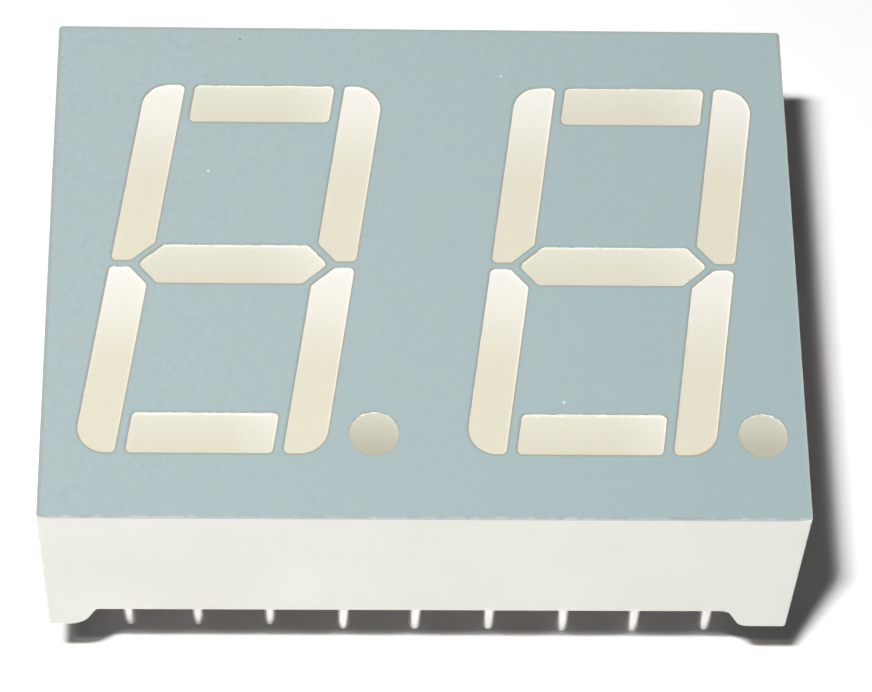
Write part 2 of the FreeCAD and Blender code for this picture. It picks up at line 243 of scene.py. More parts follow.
def diffusedEpoxy(name, deep, shallow, ramp, sideGlow):
    look = {"rim": "#fbfaf3", "sideFrom": 0.6, "cloudPerMm": 1.6, "cloudShare": 0.06, "cloudDepth": 0.000004,
            "fleckPerMm": 10.0, "fleckTone": 0.018, "roughness": 0.34, "ior": 1.53}
    start, end, glow = ramp
    material = newMaterial(name)
    place = placeInMillimetres(material)
    box = addNode(material, "ShaderNodeTexCoord")
    share = addNode(material, "ShaderNodeSeparateXYZ", {}, {0: box.outputs["Generated"]})
    # painted light: lighter towards the fill's far end and, for a crossbar, its right end, partly the
    # shallower epoxy over the white wall
    along = addNode(material, "ShaderNodeMapRange", {"interpolation_type": "SMOOTHSTEP"},
                    {"Value": share.outputs["Y"], 1: start, 2: end, 3: 0.0, 4: glow})
    sideways = addNode(material, "ShaderNodeMapRange", {"interpolation_type": "SMOOTHSTEP"},
                       {"Value": share.outputs["X"], 1: look["sideFrom"], 2: 1.0, 3: 0.0, 4: sideGlow})
    even = addNode(material, "ShaderNodeMath", {"operation": "ADD", "use_clamp": True},
                   {0: along.outputs[0], 1: sideways.outputs[0]})
    cloud = addNode(material, "ShaderNodeTexNoise", {},
                    {"Vector": place, "Scale": look["cloudPerMm"], "Detail": 4.0})
    cloudy = addNode(material, "ShaderNodeMapRange", {},
                     {"Value": cloud.outputs[0], 3: -look["cloudShare"], 4: look["cloudShare"]})
    glowing = addNode(material, "ShaderNodeMath", {"operation": "ADD", "use_clamp": True},
                      {0: even.outputs[0], 1: cloudy.outputs[0]})
    tone = mixColour(material, glowing.outputs[0], hexColour(deep), hexColour(shallow))
    # painted highlight: a near-white line along the fill's edges, brightest where the far wall glints
    rim = addNode(material, "ShaderNodeAttribute", {"attribute_name": "rim"})
    tone = mixColour(material, rim.outputs["Fac"], tone, hexColour(look["rim"]))
    fleck = addNode(material, "ShaderNodeTexNoise", {},
                    {"Vector": place, "Scale": look["fleckPerMm"], "Detail": 3.0})
    tone = grained(material, fleck.outputs[0], tone, look["fleckTone"])
    return surfaced(material, tone, look["roughness"], cloud.outputs[0], look["cloudDepth"],
                    {"IOR": look["ior"]})


# cream epoxy, poured: glossy, with slow waves from setting and a few pin bubbles

def pottingEpoxy():
    look = {"cream": "#dcd7c6", "deeper": "#cfc8b2", "wavesPerMm": 0.45, "waveDepth": 0.00008,
            "bubble": "#b1a993", "bubbleSpecks": (0.9, 0.09, 0.12), "roughness": 0.16, "ior": 1.55}
    material = newMaterial("creamEpoxyPoured")
    place = placeInMillimetres(material)
    waves = addNode(material, "ShaderNodeTexNoise", {},
                    {"Vector": place, "Scale": look["wavesPerMm"], "Detail": 3.0})
    tone = mixColour(material, waves.outputs[0], hexColour(look["cream"]), hexColour(look["deeper"]))
    bubbles = speckMask(material, place, *look["bubbleSpecks"])
    tone = mixColour(material, bubbles, tone, hexColour(look["bubble"]))
    height = addNode(material, "ShaderNodeMath", {"operation": "SUBTRACT"}, {0: waves.outputs[0], 1: bubbles})
    return surfaced(material, tone, look["roughness"], height.outputs[0], look["waveDepth"],
                    {"IOR": look["ior"]})


# glass-cloth laminate, pressed: a resin sheet in which the weave shows as faint squares

def glassLaminate():
    look = {"resin": "#b9bd8c", "thread": "#d3d3a8", "threadsPerMm": 1.9, "threadWaver": 0.6,
            "clothDepth": 0.00001, "roughness": 0.4, "ior": 1.55}
    material = newMaterial("glassLaminatePressed")
    place = placeInMillimetres(material)
    threads = {"Vector": place, "Scale": look["threadsPerMm"] / 2, "Distortion": look["threadWaver"]}
    bands = [addNode(material, "ShaderNodeTexWave", {"wave_type": "BANDS", "bands_direction": way}, threads)
             for way in "XY"]
    cloth = addNode(material, "ShaderNodeMath", {"operation": "MULTIPLY"},
                    {0: bands[0].outputs[1], 1: bands[1].outputs[1]})
    tone = mixColour(material, cloth.outputs[0], hexColour(look["resin"]), hexColour(look["thread"]))
    return surfaced(material, tone, look["roughness"], cloth.outputs[0], look["clothDepth"],
                    {"IOR": look["ior"]})


# bare metals, bright where smooth and duller in patches of oxide: drawing leaves fine lines along a
# wire, and flowed or plated metal is even

def bareMetal(name, bright, dull, roughness, streaksPerMm, depth):
    look = {"patchesPerMm": 1.1, "smoother": 0.08, "duller": 0.12}
    material = newMaterial(name)
    place = placeInMillimetres(material)
    pulled = addNode(material, "ShaderNodeMapping", {}, {"Vector": place, "Scale": streaksPerMm})
    streaks = addNode(material, "ShaderNodeTexNoise", {},
                      {"Vector": pulled.outputs[0], "Scale": 1.0, "Detail": 4.0})
    patches = addNode(material, "ShaderNodeTexNoise", {},
                      {"Vector": place, "Scale": look["patchesPerMm"], "Detail": 3.0})
    tone = mixColour(material, patches.outputs[0], hexColour(bright), hexColour(dull))
    rough = addNode(material, "ShaderNodeMapRange", {},
                    {"Value": streaks.outputs[0], 3: roughness - look["smoother"],
                     4: roughness + look["duller"]})
    return surfaced(material, tone, rough.outputs[0], streaks.outputs[0], depth, {"Metallic": 1.0})


# gallium phosphide, sawn: a dark crystal, glossy between its fine saw marks

def ledCrystal():
    look = {"crystal": "#6b4f33", "edge": "#3d2d20", "sawPerMm": 22.0, "sawDepth": 0.000003,
            "roughness": 0.22, "ior": 3.3}
    material = newMaterial("galliumPhosphideSawn")
    place = placeInMillimetres(material)
    saw = addNode(material, "ShaderNodeTexNoise", {},
                  {"Vector": place, "Scale": look["sawPerMm"], "Detail": 3.0})
    tone = mixColour(material, saw.outputs[0], hexColour(look["crystal"]), hexColour(look["edge"]))
    return surfaced(material, tone, look["roughness"], saw.outputs[0], look["sawDepth"],
                    {"IOR": look["ior"]})


housingPlastic = whitePolycarbonate()
inkFilm = greyInk()
# tones over the chip and over the well's shallow end, then where along the fill the painted light starts and
# ends and its share there, then the painted light's share at the right
uprightEpoxy = diffusedEpoxy("diffusedEpoxyCastUpright", "#e6e1cb", "#f8f5ec", (0.4, 1.0, 1.0), 0.0)
crossbarEpoxy = diffusedEpoxy("diffusedEpoxyCastCrossbar", "#e1ddc9", "#f1eddf", (0.0, 1.0, 0.45), 0.6)
pointEpoxy = diffusedEpoxy("diffusedEpoxyCastPoint", "#bdbba6", "#d4d2c1", (0.05, 1.0, 1.0), 0.1)
potting = pottingEpoxy()
laminate = glassLaminate()
# bright and dull tones, roughness, streaks to a millimetre along x, y and z, and their depth in metres
tinnedWire = bareMetal("tinnedWireDrawn", "#efeeeb", "#dcdad5", 0.29, (26.0, 26.0, 1.2), 0.000004)
tinSolder = bareMetal("tinSolderFlowed", "#cfcecb", "#b4b2ad", 0.24, (5.0, 5.0, 5.0), 0.00001)
goldPlate = bareMetal("goldOnCopperPlated", "#e6bd73", "#d3a55c", 0.3, (9.0, 9.0, 9.0), 0.000003)
goldWire = bareMetal("goldWireDrawn", "#e8c27a", "#dcb066", 0.22, (14.0, 14.0, 14.0), 0.000002)
crystal = ledCrystal()
print("materials made:", len(bpy.data.materials))


# figures: the same outlines as the light wells, in millimetres, upright before they are slanted

figure = {"pitch": 12.7, "height": 14.2, "width": 8.15, "slant": math.tan(math.radians(8)),
          "uprightWidth": 1.34, "crossbarWidth": 1.47, "pointReach": 0.415, "crossbarGap": 0.355,
          "middleGap": 0.25, "diagonalGap": 0.28, "figureRadius": 0.92, "cornerRadius": 0.17,
          "leastRadius": 0.02, "pointWidth": 1.62, "pointGap": 0.7, "pointHeight": 0.76}
well = {"floor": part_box("circuit_board")[1].z / mm, "uprightWidth": 0.84, "uprightLength": 3.6,
        "uprightBevel": 0.3, "crossbarWidth": 0.78, "crossbarLength": 2.6, "pointWidth": 1.0,
        "cornerRadius": 0.1}


def flipped(corners, alongU, alongV):
    turned = [(u * alongU, v * alongV, radius) for u, v, radius in corners]
    return turned[::-1] if alongU * alongV < 0 else turned


def leaned(corners, digitX):
    return [(digitX + u + v * figure["slant"], v, radius) for u, v, radius in corners]


def widened(corners, distance):
    # every side moves out by the distance, or in if it is negative
    lines = []
    for index, (x, y, _) in enumerate(corners):
        nextX, nextY, _ = corners[(index + 1) % len(corners)]
        length = math.hypot(nextX - x, nextY - y)
        normal = ((nextY - y) / length, (x - nextX) / length)
        lines.append((*normal, normal[0] * x + normal[1] * y + distance))
    moved = []
    for index, (_, _, radius) in enumerate(corners):
        a1, b1, c1 = lines[index - 1]
        a2, b2, c2 = lines[index]
        cross = a1 * b2 - a2 * b1
        moved.append(((c1 * b2 - c2 * b1) / cross, (a1 * c2 - a2 * c1) / cross,
                      max(radius + distance, figure["leastRadius"])))
    return moved


def ringOf(corners, arcSteps, sideSteps):
    # points round an outline with rounded corners: the same count for every ring of one shape
    arcs = []
    for index, (x, y, radius) in enumerate(corners):
        here = Vector((x, y))
        back = (Vector(corners[index - 1][:2]) - here).normalized()
        ahead = (Vector(corners[(index + 1) % len(corners)][:2]) - here).normalized()
        half = back.angle(ahead) / 2
        start = here + back * (radius / math.tan(half))
        end = here + ahead * (radius / math.tan(half))
        centre = here + (back + ahead).normalized() * (radius / math.sin(half))
        spread = (start - centre).angle_signed(end - centre)
        arcs.append([centre + Matrix.Rotation(-spread * step / arcSteps, 2) @ (start - centre)
                     for step in range(arcSteps + 1)])
    points = []
    for index, arc in enumerate(arcs):
        points += arc
        ahead = arcs[(index + 1) % len(arcs)][0]
        points += [arc[-1].lerp(ahead, step / sideSteps) for step in range(1, sideSteps)]
    return points


def roundRing(x, y, width, count):
    return [Vector((x + width / 2 * math.cos(math.tau * step / count),
                    y + width / 2 * math.sin(math.tau * step / count))) for step in range(count)]


def wellShapes():
    # for each fill's node, its outline at the face and at the floor, or for a point its middle
    shapes = {}
    half = figure["height"] / 2
    outer = figure["width"] / 2
    inner = outer - figure["uprightWidth"]
    low = figure["middleGap"] / 2
    reach = inner + figure["pointReach"]
    bevel = reach + figure["diagonalGap"] * math.sqrt(2) - inner - low
    corner = figure["cornerRadius"]
    small = well["cornerRadius"]

    def upright(left, right, bottom, top, cut, big, little):
        return [(left + cut, bottom, little), (right, bottom, little), (right, top, big),
                (left, top, little), (left, bottom + cut, little)]

    def middle(tip, halfWidth, little):
        flat = tip - halfWidth
        return [(-tip, 0, little), (-flat, -halfWidth, little), (flat, -halfWidth, little),
                (tip, 0, little), (flat, halfWidth, little), (-flat, halfWidth, little)]

    def bar(end, bottom, top, little):
        return [(-end, bottom, little), (end, bottom, little), (end, top, little), (-end, top, little)]

    face = upright(inner, outer, low, half, bevel, figure["figureRadius"], corner)
    midU, midV = (inner + outer) / 2, (low + half) / 2
    floor = upright(midU - well["uprightWidth"] / 2, midU + well["uprightWidth"] / 2,
                    midV - well["uprightLength"] / 2, midV + well["uprightLength"] / 2,
                    well["uprightBevel"], small, small)
    barV = half - figure["crossbarWidth"] / 2
    barFace = bar(inner - figure["crossbarGap"], half - figure["crossbarWidth"], half, corner)
    barFloor = bar(well["crossbarLength"] / 2, barV - well["crossbarWidth"] / 2,
                   barV + well["crossbarWidth"] / 2, small)
    pairs = {"a": (barFace, barFloor, 1, 1), "d": (barFace, barFloor, 1, -1),
             "b": (face, floor, 1, 1), "c": (face, floor, 1, -1),
             "e": (face, floor, -1, -1), "f": (face, floor, -1, 1),
             "g": (middle(reach, figure["crossbarWidth"] / 2, corner),
                   middle(well["crossbarLength"] / 2, well["crossbarWidth"] / 2, small), 1, 1)}
    for side, digitX in (("left", -figure["pitch"] / 2), ("right", figure["pitch"] / 2)):
        for letter, (top, bottom, alongU, alongV) in pairs.items():
            shapes[side + "_segment_" + letter] = (leaned(flipped(top, alongU, alongV), digitX),
                                                   leaned(flipped(bottom, alongU, alongV), digitX))
        pointV = figure["pointHeight"] - half
        pointX = digitX + outer + figure["pointGap"] + figure["pointWidth"] / 2 + pointV * figure["slant"]
        shapes[side + "_decimal_point"] = (pointX, pointV)
    return shapes


def isPoint(shape):
    return not isinstance(shape[0], list)


def ringAt(shape, onFace, distance, steps=(10, 56), pointSteps=96):
    # the shape's outline at the face or the floor, moved out by the distance
    if isPoint(shape):
        width = figure["pointWidth"] if onFace else well["pointWidth"]
        return roundRing(shape[0], shape[1], width + 2 * distance, pointSteps)
    return ringOf(widened(shape[0 if onFace else 1], distance), *steps)


shapes = wellShapes()


def outwards(ring):
    # the direction out of a closed ring at each of its points
    centre = sum(ring, Vector((0, 0))) / len(ring)
    directions = []
    for index, p in enumerate(ring):
        along = (ring[(index + 1) % len(ring)] - ring[index - 1]).normalized()
        out = Vector((along.y, -along.x))
        directions.append(out if out.dot(p - centre) > 0 else -out)
    return directions


def addPiece(name, mesh, material):
    piece = bpy.data.objects.new(name, mesh)
    bpy.context.scene.collection.objects.link(piece)
    mesh.materials.append(material)
    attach(piece, "root")
    return piece


def closedMesh(name, rings):
    # a smooth closed mesh through rings of points in millimetres, with sharp edges left sharp
    sharpFrom = math.radians(50)
    build = bmesh.new()
    layers = [[build.verts.new((x * mm, y * mm, z * mm)) for x, y, z in ring] for ring in rings]
    build.faces.new(layers[0][::-1])
    for lower, upper in zip(layers, layers[1:]):
        for index in range(len(lower)):
            ahead = (index + 1) % len(lower)
            build.faces.new((lower[index], lower[ahead], upper[ahead], upper[index]))
    build.faces.new(layers[-1])
    bmesh.ops.recalc_face_normals(build, faces=build.faces)
    bmesh.ops.triangulate(build, faces=[face for face in build.faces if len(face.verts) > 4])
    mesh = bpy.data.meshes.new(name)
    build.to_mesh(mesh)
    build.free()
    mesh.shade_smooth()
    mesh.set_sharp_from_angle(angle=sharpFrom)
    return mesh


def epoxyOf(node):
    if node.endswith("decimal_point"):
        return pointEpoxy
    return crossbarEpoxy if node[-1] in "adg" else uprightEpoxy


# epoxy fills: each one creeps up its well's wall and settles a little lower in the middle, with a painted
# highlight along its edges

def makeFill(node, shape):
    cast = {"lip": 0.012,
            # distance out from the edge, drop, share of the painted highlight line, share of the ragged lip
            "steps": [(0.0, 0.0, 1.0, 1.0), (-0.03, 0.009, 0.75, 1.0), (-0.055, 0.014, 0.1, 0.5),
                      (-0.09, 0.017, 0.0, 0.0), (-0.18, 0.019, 0.0, 0.0), (-0.26, 0.02, 0.0, 0.0)],
            "farLight": 0.9, "rightLight": 1.0, "leftLight": 0.4, "nearLight": 0.65, "pointLight": 1.6,
            # the painted edge light is weakest at a fill's low end, and a fill taller than this has next to
            # no painted near line
            "lowShare": 0.15, "tallFrom": 2.0,
            # an edge counts as the far one the more squarely it faces back
            "farGain": 1.6, "farFrom": 0.7,
            # the painted far highlight is broken finely, and left out along longer stretches
            "brokenPerMm": 9.0, "brokenSalt": 5.0, "brokenShare": 2.6,
            "stretchPerMm": 0.9, "stretchSalt": 2.0, "stretchShare": 1.6,
            "lineBase": -0.05, "pointBase": 0.25,
            # the lip sags where the line is broken the least
            "sagLeast": 0.5, "sagBase": 0.4, "sagBroken": 1.6}
    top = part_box("reflector_housing")[1].z / mm - cast["lip"]
    rings = [[(p.x, p.y, well["floor"]) for p in ringAt(shape, False, 0.0)]]
    edgeLightShares = [0.0] * len(rings[0])
    edge = ringAt(shape, True, 0.0)
    low, high = min(p.y for p in edge), max(p.y for p in edge)
    nearShare = 1.0 if high - low < cast["tallFrom"] else cast["lowShare"]
    base = cast["pointBase" if isPoint(shape) else "lineBase"]
    shares = []
    for p, out in zip(edge, outwards(edge)):
        # painted highlight: the far wall's glint as a broken white line, the other edges as a faint one
        broken = noiseAt(p, cast["brokenPerMm"], cast["brokenSalt"])
        stretch = noiseAt(p, cast["stretchPerMm"], cast["stretchSalt"])
        far = cast["farLight"] * clamped(out.y * cast["farGain"] - cast["farFrom"])
        far *= clamped(base + cast["brokenShare"] * broken + cast["stretchShare"] * stretch)
        upper = cast["lowShare"] + (1.0 - cast["lowShare"]) * (p.y - low) / (high - low)
        plain = upper * (cast["rightLight"] * max(out.x, 0.0) + cast["leftLight"] * max(-out.x, 0.0))
        plain += cast["nearLight"] * max(-out.y, 0.0) * nearShare
        if isPoint(shape):
            plain, far = 0.0, cast["pointLight"] * far
        sag = cast["sagLeast"] + clamped(cast["sagBase"] + cast["sagBroken"] * broken)
        shares.append((clamped(max(far, plain)), sag))
    for distance, drop, light, rag in cast["steps"]:
        rings.append([(p.x, p.y, top - drop * (1 + (sag - 1) * rag))
                      for p, (_, sag) in zip(ringAt(shape, True, distance), shares)])
        edgeLightShares += [light * share for share, _ in shares]
    mesh = closedMesh(node + "_cast", rings)
    mesh.attributes.new(name="rim", type="FLOAT", domain="POINT").data.foreach_set("value", edgeLightShares)
    piece = addPiece(node + "_cast", mesh, epoxyOf(node))
    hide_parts(node)


for node, shape in shapes.items():
    makeFill(node, shape)
print("fills cast:", len(shapes))


# ink film: one printed layer, cut by the screen's mesh into slightly ragged edges

def makeInk():
    film = {"length": 24.97, "width": 18.90, "corner": 0.12, "thickness": 0.04, "band": 0.085, "border": 0.13,
            "setback": 0.012, "pointSetback": 0.002, "leftSetback": 0.0, "register": -0.004, "shrink": 0.003,
            "pointRegister": (-0.004, -0.016),
            # steps round each corner and along each side, and the distance at which points become one
            "windowSteps": (14, 90), "bandSteps": (10, 60), "borderSteps": (6, 300), "merge": 1e-6,
            # ragged window edges, the far ones the most
            "farRag": 0.022, "nearRag": 0.004, "ragPerMm": 7.0, "fineTimes": 3, "fineShare": 0.7,
            "ragSalts": 1.7, "fineSalt": 9,
            # fine wear round the outside, and chips along the front edge that come in stretches
            "wear": 0.008, "wearPerMm": 9, "wearSalt": 1.0,
            "chip": 0.05, "chipPerMm": 4.0, "chipSalt": 3.3, "chipFrom": 0.2, "chipRamp": 0.3,
            "stretchPerMm": 0.7, "stretchSalt": 6.1, "stretchShare": 0.8,
            # dark nicks behind the front edge
            "nick": 0.9, "nickPerMm": 3.1, "nickSalt": 8.8, "nickInset": 0.05,
            "nickGain": 3.0, "nickBase": 0.2,
            # how much ink gathers along the windows' edges
            "nearBead": 1.0, "rightBead": 0.9, "leftBead": 0.95, "farBead": 0.3, "pointBead": 0.3,
            # at the outside's front, right, back and left edges: how thin the ink is and how dark its
            # bead; the right edge is thin but for its far end, where it has the bead
            "thin": (0.9, 0.5, 0.25, 0.2), "edgeBead": (0.0, 0.9, 0.35, 0.45), "farEndPower": 10,
            "thinBase": 0.85, "thinChip": 0.5, "innerThin": 0.4}
    high = cadBox[1][2]
    lowZ = high - film["thickness"] * mm
    points, edges, faces, marks = [], [], [], []

    def ragged(ring, salt):
        moved = []
        for p, out in zip(ring, outwards(ring)):
            far = max(out.y, 0.0)
            size = film["nearRag"] + (film["farRag"] - film["nearRag"]) * far
            wave = noiseAt(p, film["ragPerMm"], salt)
            fine = noiseAt(p, film["ragPerMm"] * film["fineTimes"], salt + film["fineSalt"])
            moved.append(p + out * size * (wave + film["fineShare"] * fine))
        return moved

    def beads(ring, share):
        # ink gathers at the near edges and the sides, where the screen lets go last
        gathered = []
        for out in outwards(ring):
            near, far = max(-out.y, 0.0), max(out.y, 0.0)
            gathered.append(share * (near * film["nearBead"] + far * film["farBead"]
                                     + max(out.x, 0.0) * film["rightBead"] * (1.0 - near)
                                     + max(-out.x, 0.0) * film["leftBead"] * (1.0 - near)))
        return gathered

    def bySide(out, shares, rightShare):
        front, right, back, left = shares
        return (front * max(-out.y, 0.0) + right * max(out.x, 0.0) * rightShare
                + back * max(out.y, 0.0) + left * max(-out.x, 0.0))

    def printed(ring):
        # the screen's pattern is a little shorter than the wells, and set a little to the left
        return [p + Vector((film["register"], -film["shrink"] * p.y)) for p in ring]

    def window(shape, setback):
        ring = ringAt(shape, True, setback, film["windowSteps"])
        if isPoint(shape):
            return [p + Vector(film["pointRegister"]) for p in ring]
        return printed([p + out * max(-out.x, 0.0) * (film["leftSetback"] - film["setback"])
                        for p, out in zip(ring, outwards(ring))])

    def addRing(ring, bead=None, thin=None):
        start = len(points)
        for index, p in enumerate(ring):
            points.append(p)
            marks.append((bead[index] if bead else 0.0, thin[index] if thin else 0.0))
            edges.append((start + index, start + (index + 1) % len(ring)))
        faces.append(list(range(start, len(points))))

    halfL, halfW = film["length"] / 2, film["width"] / 2
    frameCorners = [(-halfL, -halfW, film["corner"]), (halfL, -halfW, film["corner"]),
                    (halfL, halfW, film["corner"]), (-halfL, halfW, film["corner"])]
    border = ringOf(frameCorners, *film["borderSteps"])
    worn, thin, dark, inner, nicks = [], [], [], [], []
    for p, out in zip(border, outwards(border)):
        # the front edge is the worn one: chipped through in places, with a broken dark line behind
        chip = noiseAt(p, film["chipPerMm"], film["chipSalt"])
        stretch = noiseAt(p, film["stretchPerMm"], film["stretchSalt"])
        front = max(-out.y, 0.0)
        chipped = clamped((chip + film["stretchShare"] * stretch - film["chipFrom"]) / film["chipRamp"])
        depth = film["wear"] * abs(noiseAt(p, film["wearPerMm"], film["wearSalt"]))
        depth += chipped * film["chip"] * front
        worn.append(p - out * depth)
        farEnd = clamped((p.y + halfW) / film["width"]) ** film["farEndPower"]
        thin.append(bySide(out, film["thin"], 1.0 - farEnd) * (film["thinBase"] + film["thinChip"] * chip))
        dark.append(bySide(out, film["edgeBead"], farEnd))
        nick = clamped(noiseAt(p, film["nickPerMm"], film["nickSalt"]) * film["nickGain"] + film["nickBase"])
        inner.append(p - out * (depth + film["nickInset"]))
        nicks.append(film["nick"] * front * nick + dark[-1])
    addRing(worn, dark, thin)
    addRing(inner, nicks, [share * film["innerThin"] for share in thin])
    addRing(ringOf(widened(frameCorners, -film["border"]), *film["borderSteps"]))
    holes = set()
    for number, shape in enumerate(shapes.values()):
        setback = film["pointSetback" if isPoint(shape) else "setback"]
        fine = window(shape, setback)
        holes.add(len(faces))
        beadShare = film["pointBead"] if isPoint(shape) else 1.0
        addRing(ragged(fine, number * film["ragSalts"]), beads(fine, beadShare))
        addRing(printed(ringAt(shape, True, setback + film["band"], film["bandSteps"])))
    insideOnly = 1
    made = delaunay_2d_cdt(points, edges, faces, insideOnly, film["merge"], True)
    newPoints, _, triangles, pointSources, _, faceSources = made
    build = bmesh.new()
    bead = build.verts.layers.float.new("bead")
    thinLayer = build.verts.layers.float.new("thin")
    vertices = []
    for p, source in zip(newPoints, pointSources):
        vertex = build.verts.new((p.x * mm, p.y * mm, high))
        vertex[bead], vertex[thinLayer] = marks[source[0]] if source else (0.0, 0.0)
        vertices.append(vertex)
    for triangle, source in zip(triangles, faceSources):
        if not holes.intersection(source):
            build.faces.new([vertices[index] for index in triangle])
    loose = [v for v in build.verts if not v.link_faces]
    bmesh.ops.delete(build, geom=loose, context="VERTS")
    # the film's underside is a copy, joined to its top by a wall along every open edge
    top = list(build.faces)
    base = bmesh.ops.duplicate(build, geom=list(build.verts) + list(build.edges) + top)
    below = base["vert_map"]
    for element in base["geom"]:
        if isinstance(element, bmesh.types.BMVert):
            element.co.z = lowZ
    underside = [element for element in base["geom"] if isinstance(element, bmesh.types.BMFace)]
    bmesh.ops.reverse_faces(build, faces=underside)
    rims = [edge for face in top for edge in face.edges if len(edge.link_faces) == 1]
    for edge in rims:
        start, end = edge.verts
        build.faces.new((start, end, below[end], below[start]))
    bmesh.ops.recalc_face_normals(build, faces=build.faces)
    mesh = bpy.data.meshes.new("face_ink_film")
    build.to_mesh(mesh)
    build.free()
    piece = addPiece("face_ink_film", mesh, inkFilm)
    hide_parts("face_ink")
    print("ink film:", len(mesh.polygons), "faces")


makeInk()


# pins: drawn wire cut to length, each with a slightly rounded end and its own small lean

def makePins():
    wire = {"radius": 0.22, "rootSide": 0.56, "rootHigh": 3.28, "rootLow": 1.26, "sides": 28, "bodySteps": 8,
            "tip": [(0.0, 0.11), (0.015, 0.15), (0.05, 0.187), (0.11, 0.21), (0.20, 0.22)],
            "lean": 0.05, "short": 0.05, "curve": 1.2, "leanSalts": ((0.4, 2.5), (0.9, 7.5))}
    # how far right, back and up the front row's ends stand, as in the photograph
    bent = {1: (0.15, 0.18, 0.22), 2: (0.0, 0.18, 0.22), 3: (-0.02, 0.18, 0.24), 4: (0.02, 0.07, 0.13),
            5: (0.0, 0.07, 0.13), 6: (0.06, 0.07, 0.13), 7: (0.14, 0.07, 0.0), 8: (0.09, 0.06, 0.0),
            9: (0.09, 0.08, 0.12)}
    count = wire["sides"]
    turns = [(math.cos(math.tau * step / count), math.sin(math.tau * step / count)) for step in range(count)]
    pins = [name for name in nodes if name.startswith("pin_")]
    for number in range(1, len(pins) + 1):
        node = "pin_%02d" % number
        low, high = [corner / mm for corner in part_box(node)]
        centre = (low + high) / 2
        drift = Vector([noise.noise(Vector((number, *salts))) for salts in wire["leanSalts"]])
        free = (drift.x * wire["lean"], drift.y * wire["lean"], abs(drift.x + drift.y) * wire["short"])
        right, back, up = bent.get(number, free)
        end = low.z + up
        levels = [(end + rise, radius) for rise, radius in wire["tip"]]
        first = levels[-1][0]
        levels += [(first + (wire["rootLow"] - first) * step / wire["bodySteps"], wire["radius"])
                   for step in range(1, wire["bodySteps"] + 1)]
        rings = []
        for z, radius in levels:
            share = ((wire["rootLow"] - z) / (wire["rootLow"] - end)) ** wire["curve"]
            rings.append([(centre.x + right * share + u * radius, centre.y + back * share + v * radius, z)
                          for u, v in turns])
        for z in (wire["rootLow"], wire["rootHigh"]):
            half = wire["rootSide"] / 2
            square = [(u / max(abs(u), abs(v)), v / max(abs(u), abs(v))) for u, v in turns]
            rings.append([(centre.x + u * half, centre.y + v * half, z) for u, v in square])
        piece = addPiece(node + "_wire", closedMesh(node + "_wire", rings), tinnedWire)
        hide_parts(node)
    print("pins drawn:", len(pins))


makePins()


# the frame's own pieces take their finishes

finishes = {"reflector_housing": housingPlastic, "circuit_board": laminate, "back_fill": potting,
            "solder_joints": tinSolder, "chip_pads": goldPlate, "face_ink": inkFilm}
for name, node in nodes.items():
    if name.startswith("pin_"):
        material = tinnedWire
    elif name.startswith("led_chips"):
        material = crystal
    elif name.startswith("bond_wires"):
        material = goldWire
    elif name in shapes:
        material = epoxyOf(name)
    else:
        material = finishes[name]
    node.data.materials.clear()
    node.data.materials.append(material)
print("finishes given")


# floor: a pale sheet, which the camera and the bright metal see as white but for the shadow

